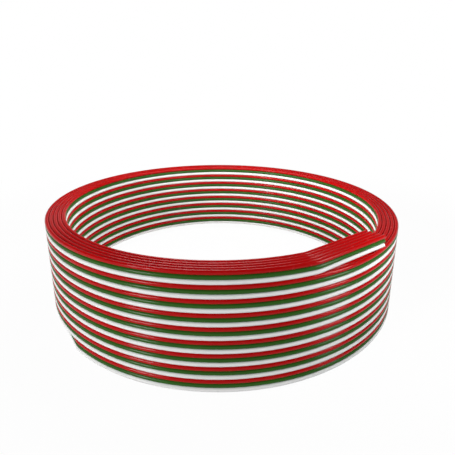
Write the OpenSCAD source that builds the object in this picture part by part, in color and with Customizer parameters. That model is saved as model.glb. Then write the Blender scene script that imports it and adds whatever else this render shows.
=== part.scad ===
// Coil of three-core ribbon cable for light strips.
// Five lengths of ribbon lie one over the other and are rolled together on edge,
// so every turn shows a red core on top, a green one under it and a white one below.
// The coil stands on the ground with its axis upright, and that axis is the origin's Z.

/* [Cable] */
// Diameter of one insulated core
core_d = 1.68; // [1.4:0.02:2.2]
// Diameter of the bundle of copper strands inside a core
strands_d = 0.76; // [0.5:0.02:0.9]
// Play between the strands and the bore of their sheath, across the diameter
bore_play = 0.02; // [0.02:0.01:0.06]
// Air between cores that lie side by side
lay_gap = 0.02; // [0.02:0.01:0.1]

/* [Coil] */
// Radius of the open eye inside the coil
eye_r = 74.26; // [50:0.01:120]
// Whole turns between the part turns at the two ends
whole_turns = 8; // [2:1:14]

/* [Ends] */
// Direction, seen from above, in which the upper ends leave the round
leave_angle = -68.1; // [-180:0.1:180]
// Part turn that runs on below the whole turns
lower_arc = 63.9; // [20:0.1:120]
// Radius of the innermost core's bend where an end leaves the round
bend_r = 9.6; // [7:0.1:30]
// Angle through which that bend turns
bend_arc = 14; // [6:0.5:24]
// Angle at the coil's axis from the middle of the straight end to its cut
cut_arc = 12.5; // [6:0.5:20]

/* [Hidden] */
// Ribbons from the inside out, and cores of a ribbon from the top down
ribbons = 5;
// From one core to the next, sideways as well as down
step = core_d + lay_gap;
// A turn climbs by the width of one ribbon
rise = 3 * step;
// Half of what each half turn climbs
half_climb = rise / 4;
// The free ends are not drawn tight, so they are a hair fuller than the rolled part
slack_d = 0.004;
// The rolled part runs this far into the fuller end
lap = 0.15;
bore_d = strands_d + bore_play;
// The bends of all ribbons share one centre, this far from the coil's axis
bend_offset = core_r(1) - bend_r;

// Radius of the centre line of a ribbon's cores
function core_r(ribbon) = eye_r + core_d / 2 + (ribbon - 1) * step;

// Tip of each half turn, which makes it climb
function tip(ribbon) = asin(half_climb / core_r(ribbon));

// Radius of a ribbon's bend
function own_bend_r(ribbon) = core_r(ribbon) - bend_offset;

// How far the straight end passes from the coil's axis
function end_distance(ribbon) = own_bend_r(ribbon) + bend_offset * cos(bend_arc);

// Length of the straight end, so that all ribbons are cut on one line through the axis
function end_length(ribbon) = end_distance(ribbon) * tan(cut_arc) + bend_offset * sin(bend_arc);

// Arc, in degrees, that a stretch of this length covers at this radius
function arc_of(length, r) = length / r * 180 / PI;

// How far the lower cut lies ahead of the line about which its half turn is tipped
function lower_reach(ribbon) =
    end_distance(ribbon) / cos(cut_arc) * cos(lower_arc + bend_arc + cut_arc);

// Depth of a ribbon's lowest point under the middle of the lowest whole half turn
function depth(ribbon) =
    rise / 2 + 2 * step + core_d / 2 + slack_d - lower_reach(ribbon) * sin(tip(ribbon));

// The coil is lifted by this much, so that its lowest point is on the ground
lift = max([for (ribbon = [1:ribbons]) depth(ribbon)]);

// Section through a core: a ring for a sheath, or a full disc where there is no bore
module section(outer, bore) {
    difference() {
        circle(d = outer, $fn = 24);
        if (bore > 0)
            circle(d = bore, $fn = 24);
    }
}

// A flat, round stretch of core, which starts on the -Y side and turns to the left
module round_stretch(r, angle, outer, bore) {
    rotate([0, 0, -90])
        rotate_extrude(angle = angle, $fn = 120)
            translate([r, 0])
                section(outer, bore);
}

// An end of a core: a short bend off the round and then a straight piece up to the cut
module end_stretch(ribbon, outer, bore) {
    r = own_bend_r(ribbon);
    fuller = bore > 0 ? slack_d : 0;
    translate([0, -bend_offset, 0]) {
        round_stretch(r, bend_arc + arc_of(lap, r), outer + slack_d, bore + fuller);
        rotate([0, 0, bend_arc])
            translate([0, -r, 0])
                rotate([0, 90, 0])
                    rotate([0, 0, -90])
                        linear_extrude(end_length(ribbon))
                            section(outer + 2 * slack_d, bore + 2 * fuller);
    }
}

// Places a flat half turn: half turns take the two sides by turns, and each is tipped
// about its middle, so that it ends level and at the height where the next one starts
module half_turn_place(index, ribbon) {
    translate([0, 0, index * rise / 2])
        rotate([0, 0, index % 2 == 0 ? 0 : 180])
            rotate([tip(ribbon), 0, 0])
                children();
}

// The part turn under the whole turns, which runs down to the lower cut
module lower_stretch(ribbon, outer, bore) {
    mirror([0, 1, 0]) {
        round_stretch(core_r(ribbon), lower_arc + arc_of(lap, core_r(ribbon)), outer, bore);
        rotate([0, 0, lower_arc])
            end_stretch(ribbon, outer, bore);
    }
}

// One core or its strands, from the lower cut to the upper one
module core(ribbon, level, outer, bore) {
    r = core_r(ribbon);
    last = 2 * whole_turns - 1;
    rotate([0, 0, leave_angle + 90])
        translate([0, 0, lift - level * step])
            for (index = [-1:last + 1])
                half_turn_place(index, ribbon)
                    if (index < 0)
                        lower_stretch(ribbon, outer, bore);
                    else if (index > last)
                        end_stretch(ribbon, outer, bore);
                    else
                        round_stretch(r, index == last ? 180 + arc_of(lap, r) : 180, outer, bore);
}

// Insulation of the top core
module red_sheath(ribbon) {
    color([0.78, 0.09, 0.08])
        core(ribbon, 0, core_d, bore_d);
}

// Insulation of the middle core
module green_sheath(ribbon) {
    color([0.16, 0.42, 0.12])
        core(ribbon, 1, core_d, bore_d);
}

// Insulation of the bottom core
module white_sheath(ribbon) {
    color([0.93, 0.93, 0.92])
        core(ribbon, 2, core_d, bore_d);
}

// Copper strands of the core at the given level
module strands(ribbon, level) {
    color([0.80, 0.50, 0.32])
        core(ribbon, level, strands_d, 0);
}

red_sheath(1);  // red_sheath_1
red_sheath(2);  // red_sheath_2
red_sheath(3);  // red_sheath_3
red_sheath(4);  // red_sheath_4
red_sheath(5);  // red_sheath_5
green_sheath(1);  // green_sheath_1
green_sheath(2);  // green_sheath_2
green_sheath(3);  // green_sheath_3
green_sheath(4);  // green_sheath_4
green_sheath(5);  // green_sheath_5
white_sheath(1);  // white_sheath_1
white_sheath(2);  // white_sheath_2
white_sheath(3);  // white_sheath_3
white_sheath(4);  // white_sheath_4
white_sheath(5);  // white_sheath_5
strands(1, 0);  // red_strands_1
strands(2, 0);  // red_strands_2
strands(3, 0);  // red_strands_3
strands(4, 0);  // red_strands_4
strands(5, 0);  // red_strands_5
strands(1, 1);  // green_strands_1
strands(2, 1);  // green_strands_2
strands(3, 1);  // green_strands_3
strands(4, 1);  // green_strands_4
strands(5, 1);  // green_strands_5
strands(1, 2);  // white_strands_1
strands(2, 2);  // white_strands_2
strands(3, 2);  // white_strands_3
strands(4, 2);  // white_strands_4
strands(5, 2);  // white_strands_5
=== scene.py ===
"""Dresses the coil of three-core ribbon cable and sets it in a plain studio.

The coil is five ribbons rolled together on edge. Each ribbon has a red, a green and a white core,
and each core is a glossy sheath round a bundle of copper strands.
"""

import logging
import math
from dataclasses import dataclass
from enum import Enum
from typing import Any

import bmesh
import bpy
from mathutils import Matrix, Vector


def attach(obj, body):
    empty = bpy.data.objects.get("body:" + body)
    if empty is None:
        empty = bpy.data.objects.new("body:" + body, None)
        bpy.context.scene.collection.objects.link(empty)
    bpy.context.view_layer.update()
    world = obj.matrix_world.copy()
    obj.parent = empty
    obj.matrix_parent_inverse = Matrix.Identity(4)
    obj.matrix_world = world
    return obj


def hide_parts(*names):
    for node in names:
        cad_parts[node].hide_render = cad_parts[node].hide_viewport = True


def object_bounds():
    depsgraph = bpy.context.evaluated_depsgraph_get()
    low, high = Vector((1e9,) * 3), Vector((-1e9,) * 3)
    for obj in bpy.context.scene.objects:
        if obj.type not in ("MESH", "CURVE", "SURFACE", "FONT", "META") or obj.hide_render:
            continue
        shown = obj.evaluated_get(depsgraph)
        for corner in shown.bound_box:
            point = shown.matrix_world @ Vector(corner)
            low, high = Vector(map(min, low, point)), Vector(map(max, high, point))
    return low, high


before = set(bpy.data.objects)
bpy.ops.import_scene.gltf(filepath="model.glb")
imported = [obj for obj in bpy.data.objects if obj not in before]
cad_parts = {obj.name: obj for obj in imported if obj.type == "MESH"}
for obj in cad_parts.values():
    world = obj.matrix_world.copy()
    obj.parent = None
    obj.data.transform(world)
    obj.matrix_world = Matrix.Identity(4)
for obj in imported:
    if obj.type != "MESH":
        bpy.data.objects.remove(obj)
CAD_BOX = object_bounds()

LOG = logging.getLogger("coil")
BODY = "root"

Colour = tuple[float, float, float]
Place = tuple[float, float, float]

WHITE: Colour = (1.0, 1.0, 1.0)
HALF = 0.5


class Core(Enum):
    """The cores of a ribbon, from the top down."""

    RED = "red"
    GREEN = "green"
    WHITE = "white"

    @property
    def level(self) -> int:
        """How many cores lie above this one in its ribbon."""
        return list(Core).index(self)


class Mark(Enum):
    """Attributes that the sweep leaves on a sheath for its finish."""

    ALONG = "along"
    SECTION = "section"
    CUT_AXIS = "cut_axis"


class Signal:
    """A shader value that plain Python expressions can combine."""

    def __init__(self, board: "Board", socket: bpy.types.NodeSocket | None) -> None:
        """Keeps the board that the value belongs to and the socket that gives it."""
        self.board = board
        self.socket = socket

    def _math(self, operation: str, first: Any, second: Any) -> "Signal":
        """Adds a Math node for one operation on two values."""
        return self.board.node("ShaderNodeMath", {"operation": operation}, {0: first, 1: second})

    def __add__(self, other: Any) -> "Signal":
        """Sum of two values."""
        return self._math("ADD", self, other)

    def __radd__(self, other: Any) -> "Signal":
        """Sum with a plain number on the left."""
        return self._math("ADD", other, self)

    def __mul__(self, other: Any) -> "Signal":
        """Product of two values."""
        return self._math("MULTIPLY", self, other)


class Board:
    """A shader tree under construction."""

    def __init__(self, tree: bpy.types.NodeTree) -> None:
        """Empties the tree, so that it holds only what is asked for.

        Args:
            tree: The node tree of a material or of the world.
        """
        self.tree = tree
        tree.nodes.clear()

    def node(
        self, kind: str, settings: dict[str, Any], sockets: dict[Any, Any], output: Any = 0
    ) -> Signal:
        """Adds one node.

        Args:
            kind: The node's type.
            settings: Properties of the node, which are set first.
            sockets: Values or signals for its inputs, by name or index.
            output: Name or index of the output that the signal stands for.

        Returns:
            The node's output as a signal.
        """
        made = self.tree.nodes.new(kind)
        for name, value in settings.items():
            setattr(made, name, value)
        for key, value in sockets.items():
            if isinstance(value, Signal):
                self.tree.links.new(value.socket, made.inputs[key])
            else:
                made.inputs[key].default_value = value
        return Signal(self, made.outputs[output] if made.outputs else None)

    def blend(self, factor: Any, first: Any, second: Any) -> Signal:
        """Mixes two colours.

        Args:
            factor: Share of the second colour.
            first: Colour or signal at factor 0.
            second: Colour or signal at factor 1.

        Returns:
            The mixed colour.
        """
        sides = [opaque(side) if isinstance(side, tuple) else side for side in (first, second)]
        inputs = {0: factor, 6: sides[0], 7: sides[1]}
        return self.node("ShaderNodeMix", {"data_type": "RGBA"}, inputs, 2)

    def ramp(self, value: Signal, low: float, high: float) -> Signal:
        """Maps low..high smoothly to 0..1."""
        return self.node(
            "ShaderNodeMapRange",
            {"interpolation_type": "SMOOTHSTEP"},
            {"Value": value, "From Min": low, "From Max": high},
        )

    def noise(self, vector: Signal, scale: float, detail: float = 2.0) -> Signal:
        """A noise value around 0.5 at the given place."""
        return self.node("ShaderNodeTexNoise", {}, {"Vector": vector, "Scale": scale, "Detail": detail})

    def object_place(self) -> Signal:
        """The place of a point in the object's own coordinates."""
        return self.node("ShaderNodeTexCoord", {}, {}, "Object")


def opaque(colour: Colour) -> tuple[float, float, float, float]:
    """A colour with full alpha, as a socket takes it."""
    return (*colour, 1.0)


def blank_material(name: str) -> tuple[bpy.types.Material, Board]:
    """A new material and the board of its tree."""
    made = bpy.data.materials.new(name)
    made.use_nodes = True
    return made, Board(made.node_tree)


@dataclass(frozen=True)
class Insulation:
    """Glossy soft plastic round one core, with the fine lines that the extruder leaves."""

    name: str
    slot: str
    colour: Colour
    shade: Colour
    roughness: float = 0.16
    specular: float = 0.14
    line_scale: float = 3.2
    line_run: float = 14.0
    line_depth: float = 8e-7
    swell_run: float = 90.0
    swell_depth: float = 3e-6
    swell_scale: float = 0.6
    scuff_scale: float = 420.0
    scuff_range: tuple[float, float] = (0.56, 0.72)
    scuff_dulling: float = 0.12
    drift_scale: float = 38.0
    drift_range: tuple[float, float] = (0.3, 0.7)
    drift_tint: float = 0.5
    drift_dulling: float = 0.03
    line_tint: float = 0.3

    def material(self) -> bpy.types.Material:
        """Makes the material.

        Returns:
            A material that reads the marks left by the sweep.
        """
        made, board = blank_material(self.name)
        section = board.node("ShaderNodeAttribute", {"attribute_name": Mark.SECTION.value}, {}, "Vector")
        along = board.node("ShaderNodeAttribute", {"attribute_name": Mark.ALONG.value}, {}, "Fac")
        place = board.object_place()

        lines = board.noise(self._drawn_out(board, section, along * self.line_run), self.line_scale, 3.0)
        swell = board.noise(self._drawn_out(board, section, along * self.swell_run), self.swell_scale)
        drift = board.ramp(board.noise(place, self.drift_scale, 3.0), *self.drift_range)
        scuff = board.ramp(board.noise(place, self.scuff_scale, 4.0), *self.scuff_range)

        height = lines * self.line_depth + swell * self.swell_depth
        bump = board.node("ShaderNodeBump", {}, {"Strength": 1.0, "Distance": 1.0, "Height": height})
        tint = board.blend(drift * self.drift_tint + lines * self.line_tint, self.colour, self.shade)
        shader = board.node(
            "ShaderNodeBsdfPrincipled",
            {},
            {
                "Base Color": tint,
                "Roughness": self.roughness + scuff * self.scuff_dulling + drift * self.drift_dulling,
                "Specular IOR Level": self.specular,
                "Normal": bump,
            },
        )
        board.node("ShaderNodeOutputMaterial", {}, {"Surface": shader})
        return made

    def _drawn_out(self, board: Board, section: Signal, run: Signal) -> Signal:
        """A place round the section and along the core, so that a pattern has no seam.

        Args:
            board: The tree that the nodes go to.
            section: Place on the section, on a circle of radius 1.
            run: Place along the core, in the pattern's own measure.

        Returns:
            The vector for a texture.
        """
        depth = board.node("ShaderNodeCombineXYZ", {}, {"Z": run})
        return board.node("ShaderNodeVectorMath", {"operation": "ADD"}, {0: section, 1: depth})


@dataclass(frozen=True)
class Copper:
    """Bright drawn copper that has begun to dull."""

    name: str = "copper_strands"
    slot: str = "copper_strands"
    bright: Colour = (0.78, 0.37, 0.20)
    dull: Colour = (0.42, 0.17, 0.09)
    roughness: float = 0.28
    grain: float = 2600.0
    grain_strength: float = 0.4
    grain_depth: float = 1e-5
    patch_scale: float = 1040.0
    patch_range: tuple[float, float] = (0.42, 0.75)
    patch_dulling: float = 0.2

    def material(self) -> bpy.types.Material:
        """Makes the material.

        Returns:
            A metal with dull patches and a fine grain.
        """
        made, board = blank_material(self.name)
        place = board.object_place()
        patches = board.ramp(board.noise(place, self.patch_scale, 3.0), *self.patch_range)
        grain = board.noise(place, self.grain, 2.0)
        relief = {"Strength": self.grain_strength, "Distance": self.grain_depth, "Height": grain}
        bump = board.node("ShaderNodeBump", {}, relief)
        shader = board.node(
            "ShaderNodeBsdfPrincipled",
            {},
            {
                "Base Color": board.blend(patches, self.bright, self.dull),
                "Metallic": 1.0,
                "Roughness": self.roughness + patches * self.patch_dulling,
                "Normal": bump,
            },
        )
        board.node("ShaderNodeOutputMaterial", {}, {"Surface": shader})
        return made


class Recipe:
    """A Geometry Nodes tree with named inputs for its sizes."""

    def __init__(self, name: str, inputs: dict[str, str]) -> None:
        """Starts an empty tree.

        Args:
            name: The tree's name.
            inputs: Socket type of each input, by label.
        """
        self.tree = bpy.data.node_groups.new(name, "GeometryNodeTree")
        self.keys: dict[str, str] = {}
        for label, kind in {"Guide": "NodeSocketGeometry", **inputs}.items():
            item = self.tree.interface.new_socket(label, in_out="INPUT", socket_type=kind)
            self.keys[label] = item.identifier
        self.tree.interface.new_socket("Result", in_out="OUTPUT", socket_type="NodeSocketGeometry")
        self.start = self.tree.nodes.new("NodeGroupInput")
        self.end = self.tree.nodes.new("NodeGroupOutput")

    def input(self, label: str) -> bpy.types.NodeSocket:
        """The socket of a named input."""
        return self.start.outputs[label]

    def node(
        self, kind: str, settings: dict[str, Any], sockets: dict[Any, Any], output: Any = 0
    ) -> bpy.types.NodeSocket:
        """Adds one node.

        Args:
            kind: The node's type.
            settings: Properties of the node, which are set first.
            sockets: Values or sockets for its inputs, by name or index, or a list of sockets to join.
            output: Name or index of the output to return.

        Returns:
            The chosen output.
        """
        made = self.tree.nodes.new(kind)
        for name, value in settings.items():
            setattr(made, name, value)
        for key, value in sockets.items():
            for source in value if isinstance(value, list) else [value]:
                if isinstance(source, bpy.types.NodeSocket):
                    self.tree.links.new(source, made.inputs[key])
                else:
                    made.inputs[key].default_value = source
        return made.outputs[output]

    def joined(self, *parts: bpy.types.NodeSocket) -> bpy.types.NodeSocket:
        """Several geometries as one."""
        return self.node("GeometryNodeJoinGeometry", {}, {0: list(parts)})

    def close(self, geometry: bpy.types.NodeSocket, material: bpy.types.NodeSocket) -> None:
        """Ends the tree in real geometry with a material.

        Args:
            geometry: What the tree made.
            material: The input that holds its material.
        """
        real = self.node("GeometryNodeRealizeInstances", {}, {"Geometry": geometry})
        dressed = self.node("GeometryNodeSetMaterial", {}, {"Geometry": real, "Material": material})
        self.tree.links.new(dressed, self.end.inputs["Result"])

    def make(self, guide: bpy.types.Object, values: dict[str, Any]) -> None:
        """Turns a guide into the mesh that the tree makes from it.

        Args:
            guide: The object that the tree starts from, and that keeps the result.
            values: Value of each named input.
        """
        modifier = guide.modifiers.new(self.tree.name, "NODES")
        modifier.node_group = self.tree
        for label, value in values.items():
            modifier[self.keys[label]] = value
        graph = bpy.context.evaluated_depsgraph_get()
        mesh = bpy.data.meshes.new_from_object(
            guide.evaluated_get(graph), preserve_all_data_layers=True, depsgraph=graph
        )
        guide.modifiers.remove(modifier)
        drawn = guide.data
        guide.data = mesh
        mesh.name = guide.name
        bpy.data.meshes.remove(drawn)


def new_object(name: str, points: list[Vector], edges: list[tuple[int, int]]) -> bpy.types.Object:
    """Links an object whose mesh is only points and edges.

    Args:
        name: The object's name.
        points: Places of its points.
        edges: Pairs of points that are joined.

    Returns:
        The new object.
    """
    mesh = bpy.data.meshes.new(name)
    mesh.from_pydata([point[:] for point in points], edges, [])
    made = bpy.data.objects.new(name, mesh)
    bpy.context.scene.collection.objects.link(made)
    return made


@dataclass(frozen=True)
class CoilLay:
    """Sizes of the rolled ribbons and the route that each core takes, in metres and radians."""

    core_d: float = 0.00168
    strands_d: float = 0.00076
    lay_gap: float = 0.00002
    eye_r: float = 0.07426
    whole_turns: int = 8
    leave_angle: float = math.radians(-68.1)
    lower_arc: float = math.radians(63.9)
    bend_r: float = 0.0096
    bend_arc: float = math.radians(14.0)
    cut_arc: float = math.radians(12.5)
    ribbons: int = 5
    points_per_turn: int = 120
    points_per_end: int = 6

    @property
    def step(self) -> float:
        """From one core to the next, sideways as well as down."""
        return self.core_d + self.lay_gap

    @property
    def rise(self) -> float:
        """A turn climbs by the width of one ribbon."""
        return len(Core) * self.step

    @property
    def foot(self) -> float:
        """Height of the lowest core's centre line at its lower cut."""
        return self.core_d / 2

    @property
    def bend_offset(self) -> float:
        """Distance of the bends' common centre from the coil's axis."""
        return self.core_r(1) - self.bend_r

    def core_r(self, ribbon: int) -> float:
        """Radius of the centre line of a ribbon's cores."""
        return self.eye_r + self.core_d / 2 + (ribbon - 1) * self.step

    def end_plan(self, ribbon: int) -> list[Vector]:
        """Flat route of an end that leaves the round on the -Y side and turns to the left.

        Args:
            ribbon: Number of the ribbon, from the inside out.

        Returns:
            Points from just after the round up to the cut.
        """
        bend = self.core_r(ribbon) - self.bend_offset
        distance = bend + self.bend_offset * math.cos(self.bend_arc)
        length = distance * math.tan(self.cut_arc) + self.bend_offset * math.sin(self.bend_arc)
        centre = Vector((0.0, -self.bend_offset, 0.0))
        plan = []
        for index in range(1, self.points_per_end + 1):
            turn = self.bend_arc * index / self.points_per_end
            plan.append(centre + bend * Vector((math.sin(turn), -math.cos(turn), 0.0)))
        ahead = Vector((math.cos(self.bend_arc), math.sin(self.bend_arc), 0.0))
        corner = plan[-1]
        for index in range(1, self.points_per_end + 1):
            plan.append(corner + ahead * length * index / self.points_per_end)
        return plan

    def route(self, ribbon: int, core: Core) -> list[Vector]:
        """Centre line of a core from its lower cut to its upper one.

        Args:
            ribbon: Number of the ribbon, from the inside out.
            core: Which core of the ribbon.

        Returns:
            Points along the centre line.
        """
        radius = self.core_r(ribbon)
        whole = 2 * math.pi * self.whole_turns
        plan = self.end_plan(ribbon)
        climb = self.rise / (2 * math.pi)
        reach = self.lower_arc + self.bend_arc + self.cut_arc
        base = self.foot + (len(Core) - 1 - core.level) * self.step + reach * climb
        points = []
        for point in reversed(plan):
            swing = math.atan2(point.x, -point.y)
            mirrored = Vector((-point.x, point.y, 0.0))
            points.append(self._placed(mirrored, -self.lower_arc, base - (self.lower_arc + swing) * climb))
        turned = whole + self.lower_arc
        count = round(self.points_per_turn * turned / (2 * math.pi))
        for index in range(count + 1):
            angle = turned * index / count - self.lower_arc
            points.append(self._placed(Vector((0.0, -radius, 0.0)), angle, base + angle * climb))
        for point in plan:
            swing = math.atan2(point.x, -point.y)
            points.append(self._placed(point, 0.0, base + (whole + swing) * climb))
        return points

    def _placed(self, flat: Vector, angle: float, height: float) -> Vector:
        """Turns a point of the flat plan about the coil's axis and lifts it."""
        turn = self.leave_angle + math.pi / 2 + angle
        return Vector(
            (
                flat.x * math.cos(turn) - flat.y * math.sin(turn),
                flat.x * math.sin(turn) + flat.y * math.cos(turn),
                height,
            )
        )


def swept(
    recipe: Recipe,
    line: bpy.types.NodeSocket,
    diameter: bpy.types.NodeSocket,
    sides: bpy.types.NodeSocket,
    caps: bool = False,
) -> bpy.types.NodeSocket:
    """Sweeps a round section along a line.

    Args:
        recipe: The tree that the nodes go to.
        line: The centre line, as a curve.
        diameter: Diameter of the section.
        sides: Number of its sides.
        caps: Whether the ends are closed.

    Returns:
        A smooth tube that carries the marks for its finish.
    """
    ring = recipe.node(
        "GeometryNodeCurvePrimitiveCircle",
        {"mode": "RADIUS"},
        {"Resolution": sides, "Radius": 1.0},
        "Curve",
    )
    place = recipe.node("GeometryNodeInputPosition", {}, {})
    ring = recipe.node(
        "GeometryNodeStoreNamedAttribute",
        {"data_type": "FLOAT_VECTOR", "domain": "POINT"},
        {"Geometry": ring, "Name": Mark.SECTION.value, "Value": place},
    )
    radius = recipe.node("ShaderNodeMath", {"operation": "MULTIPLY"}, {0: diameter, 1: HALF})
    size = recipe.node("ShaderNodeCombineXYZ", {}, {"X": radius, "Y": radius, "Z": radius})
    ring = recipe.node("GeometryNodeTransform", {}, {"Geometry": ring, "Scale": size})
    tube = recipe.node(
        "GeometryNodeCurveToMesh", {}, {"Curve": line, "Profile Curve": ring, "Fill Caps": caps}
    )
    return recipe.node("GeometryNodeSetShadeSmooth", {}, {"Geometry": tube})


def centre_line(recipe: Recipe) -> bpy.types.NodeSocket:
    """The guide as a curve that stays upright and knows the length along it.

    Args:
        recipe: The tree that the nodes go to.

    Returns:
        The curve.
    """
    line = recipe.node("GeometryNodeMeshToCurve", {}, {0: recipe.input("Guide")})
    line = recipe.node("GeometryNodeSetCurveNormal", {"mode": "Z_UP"}, {"Curve": line})
    length = recipe.node("GeometryNodeSplineParameter", {}, {}, "Length")
    return recipe.node(
        "GeometryNodeStoreNamedAttribute",
        {"data_type": "FLOAT", "domain": "POINT"},
        {"Geometry": line, "Name": Mark.ALONG.value, "Value": length},
    )


def sheath_recipe() -> Recipe:
    """The tree that sweeps a sheath: its outside and, turned inwards, its bore.

    Returns:
        A recipe whose guide is a chain of edges.
    """
    recipe = Recipe(
        "sheath_sweep",
        {
            "Core diameter": "NodeSocketFloat",
            "Sides": "NodeSocketInt",
            "Bore diameter": "NodeSocketFloat",
            "Bore sides": "NodeSocketInt",
            "Insulation": "NodeSocketMaterial",
        },
    )
    line = centre_line(recipe)
    outside = swept(recipe, line, recipe.input("Core diameter"), recipe.input("Sides"))
    bore = swept(recipe, line, recipe.input("Bore diameter"), recipe.input("Bore sides"))
    bore = recipe.node("GeometryNodeFlipFaces", {}, {"Mesh": bore})
    recipe.close(recipe.joined(outside, bore), recipe.input("Insulation"))
    return recipe


def bundle_recipe() -> Recipe:
    """The tree that sweeps a bundle of strands as one closed rod.

    Returns:
        A recipe whose guide is a chain of edges.
    """
    recipe = Recipe(
        "bundle_sweep",
        {
            "Bundle diameter": "NodeSocketFloat",
            "Sides": "NodeSocketInt",
            "Copper": "NodeSocketMaterial",
        },
    )
    line = centre_line(recipe)
    rod = swept(recipe, line, recipe.input("Bundle diameter"), recipe.input("Sides"), True)
    recipe.close(rod, recipe.input("Copper"))
    return recipe


@dataclass
class Sheath:
    """The insulation of one core of one ribbon."""

    lay: CoilLay
    ribbon: int
    core: Core
    finish: Insulation
    sides: int = 16
    bore_d: float = 0.00078
    bore_sides: int = 8
    lip: float = 0.00004
    lip_middle: tuple[float, float] = (0.3, 0.7)
    sharp_angle: float = math.radians(40.0)

    @property
    def name(self) -> str:
        """Name of the finished piece."""
        return f"{self.core.value}_insulation_{self.ribbon}"

    @property
    def node(self) -> str:
        """Name of the solid that the piece stands for."""
        return f"{self.core.value}_sheath_{self.ribbon}"

    @property
    def bore_corner_d(self) -> float:
        """Diameter across the corners of the bore, whose flat sides stay clear of the strands."""
        return self.bore_d / math.cos(math.pi / self.bore_sides)

    def build(self, recipe: Recipe, material: bpy.types.Material) -> bpy.types.Object:
        """Args:
            recipe: The tree that sweeps a section.
            material: The insulation's material.

        Returns:
            The finished piece.
        """
        route = self.lay.route(self.ribbon, self.core)
        chain = [(index, index + 1) for index in range(len(route) - 1)]
        piece = new_object(self.name, route, chain)
        values = {
            "Core diameter": self.lay.step,
            "Sides": self.sides,
            "Bore diameter": self.bore_corner_d,
            "Bore sides": self.bore_sides,
            "Insulation": material,
        }
        recipe.make(piece, values)
        self._cut_ends(piece.data, route)
        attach(piece, BODY)
        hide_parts(self.node)
        return piece

    def _cut_ends(self, mesh: bpy.types.Mesh, route: list[Vector]) -> None:
        """Closes both ends with a flat cut round the bore, with its edges a little rounded.

        Args:
            mesh: The swept sheath, open at both ends.
            route: Its centre line.
        """
        half = self.lay.step / 2
        bore = self.bore_corner_d / 2
        between = (half + bore) / 2
        inward, outward = self.lip_middle
        outer_edge = [(half - self.lip * inward, self.lip * outward), (half - self.lip, self.lip)]
        bore_edge = [(bore + self.lip, self.lip)]
        work = bmesh.new()
        work.from_mesh(mesh)
        for tip, before in ((route[0], route[1]), (route[-1], route[-2])):
            axis = (tip - before).normalized()
            open_edges = [e for e in work.edges if e.is_boundary]
            spread = {e: (e.verts[0].co - tip).length for e in open_edges}
            outer = [e for e in open_edges if between < spread[e] < self.lay.step]
            inner = [e for e in open_edges if spread[e] < between]
            rims = [
                self._rounded(work, rim, tip, axis, edge)
                for rim, edge in ((outer, outer_edge), (inner, bore_edge))
            ]
            bmesh.ops.bridge_loops(work, edges=rims[0] + rims[1])
        bmesh.ops.recalc_face_normals(work, faces=work.faces)
        for face in work.faces:
            face.smooth = True
        work.to_mesh(mesh)
        work.free()
        mesh.set_sharp_from_angle(angle=self.sharp_angle)

    def _rounded(
        self,
        work: bmesh.types.BMesh,
        rim: list[bmesh.types.BMEdge],
        tip: Vector,
        axis: Vector,
        edge: list[tuple[float, float]],
    ) -> list[bmesh.types.BMEdge]:
        """Runs an open rim on over the edge of the cut.

        Args:
            work: The mesh.
            rim: Edges of the rim.
            tip: Middle of the cut.
            axis: Direction out of the cut.
            edge: Radius and reach of each new ring.

        Returns:
            The edges of the last ring.
        """
        for radius, reach in edge:
            made = bmesh.ops.extrude_edge_only(work, edges=rim)["geom"]
            rim = [item for item in made if isinstance(item, bmesh.types.BMEdge) and item.is_boundary]
            for vert in {v for item in rim for v in item.verts}:
                spoke = vert.co - tip
                spoke -= axis * spoke.dot(axis)
                vert.co = tip + spoke.normalized() * radius + axis * reach
        return rim


@dataclass
class Strands:
    """The bundle of copper strands in one core of one ribbon."""

    lay: CoilLay
    ribbon: int
    core: Core
    finish: Copper
    sides: int = 6

    def build(self, recipe: Recipe, material: bpy.types.Material) -> bpy.types.Object:
        """Sweeps the bundle along the middle of its sheath.

        Args:
            recipe: The tree that sweeps a rod.
            material: The copper.

        Returns:
            The finished piece.
        """
        route = self.lay.route(self.ribbon, self.core)
        chain = [(index, index + 1) for index in range(len(route) - 1)]
        piece = new_object(f"{self.core.value}_bundle_{self.ribbon}", route, chain)
        values = {"Bundle diameter": self.lay.strands_d, "Sides": self.sides, "Copper": material}
        recipe.make(piece, values)
        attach(piece, BODY)
        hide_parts(f"{self.core.value}_strands_{self.ribbon}")
        LOG.info("%s: %d faces", piece.name, len(piece.data.polygons))
        return piece


TIP_HALF_WIDTH = 0.49
TIP_SEGMENTS = 6
TIP_RINGS = 4
INNER_STRANDS = 6
OUTER_STRANDS = 12
OUTER_RING = 1.95
SHORTEST_TIP = 0.45


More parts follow.
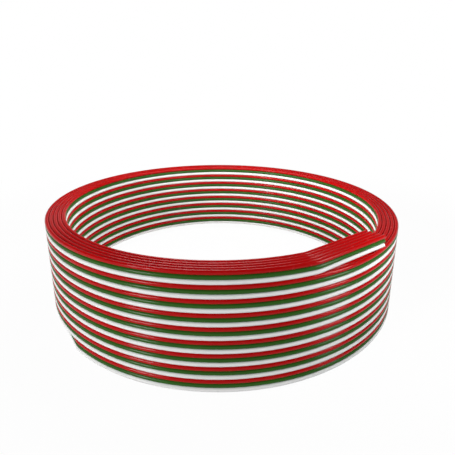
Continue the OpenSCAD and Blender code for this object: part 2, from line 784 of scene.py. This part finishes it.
def tips_recipe() -> Recipe:
    """The tree that sets a bundle of strand ends on each cut.

    Returns:
        A recipe whose guide is one point per cut, with the cut's axis as an attribute.
    """
    recipe = Recipe(
        "strand_tips",
        {
            "Strand diameter": "NodeSocketFloat",
            "Reach": "NodeSocketFloat",
            "Seed": "NodeSocketInt",
            "Copper": "NodeSocketMaterial",
        },
    )
    width = recipe.input("Strand diameter")
    half = recipe.node("ShaderNodeMath", {"operation": "MULTIPLY"}, {0: width, 1: TIP_HALF_WIDTH})
    size = recipe.node(
        "ShaderNodeCombineXYZ", {}, {"X": half, "Y": half, "Z": recipe.input("Reach")}
    )
    ball = recipe.node(
        "GeometryNodeMeshUVSphere",
        {},
        {"Segments": TIP_SEGMENTS, "Rings": TIP_RINGS, "Radius": 1.0},
    )
    tip = recipe.node("GeometryNodeTransform", {}, {"Geometry": ball, "Scale": size})
    tip = recipe.node("GeometryNodeSetShadeSmooth", {}, {"Geometry": tip})

    outer = recipe.node("ShaderNodeMath", {"operation": "MULTIPLY"}, {0: width, 1: OUTER_RING})
    middle = recipe.node("GeometryNodePoints", {}, {"Count": 1})
    inner_ring = recipe.node("GeometryNodeMeshCircle", {}, {"Vertices": INNER_STRANDS, "Radius": width})
    outer_ring = recipe.node("GeometryNodeMeshCircle", {}, {"Vertices": OUTER_STRANDS, "Radius": outer})
    spots = recipe.joined(middle, inner_ring, outer_ring)

    seed = recipe.input("Seed")
    stretch = recipe.node(
        "FunctionNodeRandomValue",
        {"data_type": "FLOAT"},
        {2: SHORTEST_TIP, 3: 1.0, "Seed": seed},
        1,
    )
    scale = recipe.node("ShaderNodeCombineXYZ", {}, {"X": 1.0, "Y": 1.0, "Z": stretch})
    bundle = recipe.node(
        "GeometryNodeInstanceOnPoints",
        {},
        {"Points": spots, "Instance": tip, "Scale": scale},
    )
    axis = recipe.node(
        "GeometryNodeInputNamedAttribute", {"data_type": "FLOAT_VECTOR"}, {"Name": Mark.CUT_AXIS.value}
    )
    facing = recipe.node("FunctionNodeAlignRotationToVector", {"axis": "Z"}, {"Vector": axis})
    ends = recipe.node(
        "GeometryNodeInstanceOnPoints",
        {},
        {"Points": recipe.input("Guide"), "Instance": bundle, "Rotation": facing},
    )
    recipe.close(ends, recipe.input("Copper"))
    return recipe


@dataclass
class StrandTips:
    """The ends of the copper strands, which show in the cuts."""

    lay: CoilLay
    finish: Copper
    strand_d: float = 0.000152
    reach: float = 0.00009
    seed: int = 5
    name: str = "strand_tips"

    def build(self, material: bpy.types.Material) -> bpy.types.Object:
        """Sets the strand ends on all cuts.

        Args:
            material: The copper.

        Returns:
            The finished piece.
        """
        cuts: list[Vector] = []
        axes: list[Vector] = []
        for ribbon in range(1, self.lay.ribbons + 1):
            for core in Core:
                route = self.lay.route(ribbon, core)
                for tip, before in ((route[0], route[1]), (route[-1], route[-2])):
                    cuts.append(tip)
                    axes.append((tip - before).normalized())
        piece = new_object(self.name, cuts, [])
        mark = piece.data.attributes.new(Mark.CUT_AXIS.value, "FLOAT_VECTOR", "POINT")
        for index, axis in enumerate(axes):
            mark.data[index].vector = axis
        values = {
            "Strand diameter": self.strand_d,
            "Reach": self.reach,
            "Seed": self.seed,
            "Copper": material,
        }
        tips_recipe().make(piece, values)
        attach(piece, BODY)
        LOG.info("%s: %d cuts, %d faces", piece.name, len(cuts), len(piece.data.polygons))
        return piece


@dataclass(frozen=True)
class Lamp:
    """A soft panel that lights the coil from one side, with angles in degrees."""

    name: str
    azimuth: float
    elevation: float
    distance: float
    width: float
    height: float
    brightness: float
    mirrored: bool = True

    def hang(self, target: Vector) -> bpy.types.Object:
        """Hangs the panel so that it faces the target.

        Args:
            target: The point that the panel looks at.

        Returns:
            The lamp's object.
        """
        data = bpy.data.lights.new(self.name, "AREA")
        data.shape = "RECTANGLE"
        data.size = self.width
        data.size_y = self.height
        data.energy = math.pi * self.width * self.height * self.brightness
        lamp = bpy.data.objects.new(self.name, data)
        lamp.visible_camera = False
        lamp.visible_glossy = self.mirrored
        bpy.context.scene.collection.objects.link(lamp)
        turn, tilt = math.radians(self.azimuth), math.radians(self.elevation)
        away = Vector(
            (math.cos(turn) * math.cos(tilt), math.sin(turn) * math.cos(tilt), math.sin(tilt))
        )
        lamp.location = target + away * self.distance
        lamp.rotation_mode = "QUATERNION"
        lamp.rotation_quaternion = (-away).to_track_quat("-Z", "Y")
        return lamp


@dataclass
class Studio:
    """Floor, light and camera."""

    target: Vector
    sweep_r: float = 3.0
    sweep_height: float = 0.72
    cove_r: float = 0.5
    cove_steps: int = 8
    sweep_sides: int = 64
    sweep_colour: Colour = (0.9, 0.9, 0.9)
    sweep_roughness: float = 0.5
    floor_white: float = 0.97
    mirror_share: float = 0.5
    shadow_r: float = 0.16
    clear_r: float = 0.30
    ambient: float = 0.10
    camera_place: Place = (0.002576, -0.195640, 0.105108)
    camera_pitch: float = math.radians(16.357)
    lens: float = 32.0
    sensor: float = 36.0
    shift: tuple[float, float] = (-0.0011, -0.0753)
    near: float = 0.01
    lamps: tuple[Lamp, ...] = (
        Lamp("left_strip", -133.6, 14.0, 0.68, 0.157, 0.32, 16.5),
        Lamp("left_panel", -165.0, 8.0, 0.68, 0.50, 0.40, 0.8),
        Lamp("front_fill", -95.0, 6.0, 0.68, 0.70, 0.40, 0.5),
        Lamp("eye_strip", 130.0, 78.0, 0.097, 0.11, 0.08, 5.0),
        Lamp("right_near", -40.0, 24.8, 0.1465, 0.03, 0.06, 10.5),
        Lamp("back_left", 140.0, 10.0, 0.68, 0.60, 0.40, 1.7, False),
        Lamp("back_right", 50.0, 10.0, 0.68, 0.60, 0.40, 1.7, False),
    )

    def build(self) -> None:
        """Sets up everything round the object."""
        self._world()
        self._sweep()
        for lamp in self.lamps:
            lamp.hang(self.target)
        self._camera()
        LOG.info("studio: floor, %d lamps, camera", len(self.lamps))

    def _world(self) -> None:
        """Even, dim ambient light."""
        world = bpy.data.worlds.new("studio")
        bpy.context.scene.world = world
        world.use_nodes = True
        board = Board(world.node_tree)
        light = board.node(
            "ShaderNodeBackground", {}, {"Color": opaque(WHITE), "Strength": self.ambient}
        )
        board.node("ShaderNodeOutputWorld", {}, {"Surface": light})

    def _sweep(self) -> None:
        """A round white sweep: a floor that curves up into a wall on all sides."""
        work = bmesh.new()
        rings = [(self.sweep_r - self.cove_r, 0.0)]
        for index in range(1, self.cove_steps + 1):
            turn = math.pi / 2 * index / self.cove_steps
            rings.append(
                (
                    self.sweep_r - self.cove_r + self.cove_r * math.sin(turn),
                    self.cove_r - self.cove_r * math.cos(turn),
                )
            )
        rings.append((self.sweep_r, self.sweep_height))
        loops = []
        for radius, height in rings:
            loop = []
            for index in range(self.sweep_sides):
                turn = 2 * math.pi * index / self.sweep_sides
                loop.append(work.verts.new((radius * math.cos(turn), radius * math.sin(turn), height)))
            loops.append(loop)
        work.faces.new(loops[0])
        for lower, upper in zip(loops, loops[1:]):
            for index in range(self.sweep_sides):
                after = (index + 1) % self.sweep_sides
                work.faces.new((lower[index], lower[after], upper[after], upper[index]))
        mesh = bpy.data.meshes.new("studio_sweep")
        work.to_mesh(mesh)
        work.free()
        for face in mesh.polygons:
            face.use_smooth = len(face.vertices) == 4
        mesh.materials.append(self._paper())
        sweep = bpy.data.objects.new("studio_sweep", mesh)
        bpy.context.scene.collection.objects.link(sweep)

    def _paper(self) -> bpy.types.Material:
        """White paper that looks white and still takes the coil's soft shadow.

        Returns:
            The sweep's material.
        """
        made, board = blank_material("studio_paper")
        paint = board.node(
            "ShaderNodeBsdfDiffuse",
            {},
            {"Color": opaque(self.sweep_colour), "Roughness": self.sweep_roughness},
        )
        glow = board.node("ShaderNodeEmission", {}, {"Color": opaque(WHITE), "Strength": 1.0})
        names = ("Is Camera Ray", "Is Glossy Ray", "Is Transmission Ray")
        seen, glossy, through = (board.node("ShaderNodeLightPath", {}, {}, name) for name in names)
        mirrored = glossy * self.mirror_share
        looked_at = board.node("ShaderNodeMath", {"operation": "MAXIMUM"}, {0: seen, 1: mirrored})
        looked_at = board.node("ShaderNodeMath", {"operation": "MAXIMUM"}, {0: looked_at, 1: through})
        place = board.object_place()
        away = board.node("ShaderNodeVectorMath", {"operation": "LENGTH"}, {0: place}, "Value")
        clear = board.ramp(away, self.shadow_r, self.clear_r)
        white = self.floor_white + clear * (1.0 - self.floor_white)
        shader = board.node("ShaderNodeMixShader", {}, {0: looked_at * white, 1: paint, 2: glow})
        board.node("ShaderNodeOutputMaterial", {}, {"Surface": shader})
        return made

    def _camera(self) -> None:
        """The camera at the viewing angle of the picture."""
        data = bpy.data.cameras.new("camera")
        data.lens = self.lens
        data.sensor_width = self.sensor
        data.shift_x, data.shift_y = self.shift
        data.clip_start = self.near
        camera = bpy.data.objects.new("camera", data)
        bpy.context.scene.collection.objects.link(camera)
        camera.location = self.camera_place
        camera.rotation_euler = (math.pi / 2 - self.camera_pitch, 0.0, 0.0)
        bpy.context.scene.camera = camera


@dataclass
class Coil:
    """All ribbons of the coil, with the copper in them."""

    lay: CoilLay
    insulation: dict[Core, Insulation]
    copper: Copper

    def build(self) -> None:
        """Builds and dresses every core."""
        sheath, bundle = sheath_recipe(), bundle_recipe()
        metal = self.copper.material()
        for core in Core:
            finish = self.insulation[core]
            material = finish.material()
            for ribbon in range(1, self.lay.ribbons + 1):
                Sheath(self.lay, ribbon, core, finish).build(sheath, material)
                Strands(self.lay, ribbon, core, self.copper).build(bundle, metal)
        StrandTips(self.lay, self.copper).build(metal)


def main() -> None:
    """Builds the studio and the coil."""
    logging.basicConfig(level=logging.INFO, format="%(name)s %(message)s")
    bpy.context.scene.view_settings.view_transform = "Standard"
    low, high = CAD_BOX
    Studio(target=(low + high) / 2).build()
    insulation = {
        Core.RED: Insulation("red_pvc", "red_insulation", (0.46, 0.002, 0.002), (0.37, 0.001, 0.002)),
        Core.GREEN: Insulation("green_pvc", "green_insulation", (0.030, 0.115, 0.012), (0.02, 0.085, 0.01)),
        Core.WHITE: Insulation("white_pvc", "white_insulation", (0.84, 0.845, 0.845), (0.78, 0.785, 0.78)),
    }
    Coil(CoilLay(), insulation, Copper()).build()


if __name__ == "__main__":
    main()
